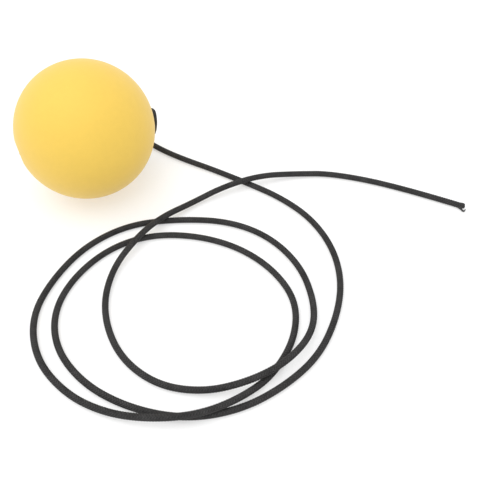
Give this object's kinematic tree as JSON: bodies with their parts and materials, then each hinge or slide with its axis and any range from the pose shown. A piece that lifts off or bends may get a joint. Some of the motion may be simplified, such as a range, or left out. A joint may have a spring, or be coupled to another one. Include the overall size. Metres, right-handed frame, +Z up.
{
  "type": "reflex ball on elastic cord",
  "caption": "Soft round training ball that spins on a thin elastic cord, knotted in a recess at each end of its bore, the long cord lying in loose loops.",
  "frame": {"origin": "the point the ball rests on, at the bottom of the ball", "axes": "+Z up, +X the way the straight free end of the cord points"},
  "size_m": [0.1993, 0.166, 0.063],
  "materials": {
    "ball_skin": "matte",
    "cord_braid": "matte",
    "cord_rubber": "matte"
  },
  "bodies": {
    "cord": {"sheath_in_bore": "cord_braid", "core_in_bore": "cord_rubber", "exit_knot": "cord_braid", "end_knot": "cord_braid", "knot_tail": "cord_braid", "cord_sheath": "cord_braid", "cord_core": "cord_rubber"},
    "ball": {"ball": "ball_skin"}
  },
  "joints": [
    {"name": "ball_spin", "type": "hinge", "parent": "cord", "child": "ball", "pos_m": [0, 0, 0.0315], "axis": [0.6403, 0.7631, 0.0872], "continuous": true}
  ]
}
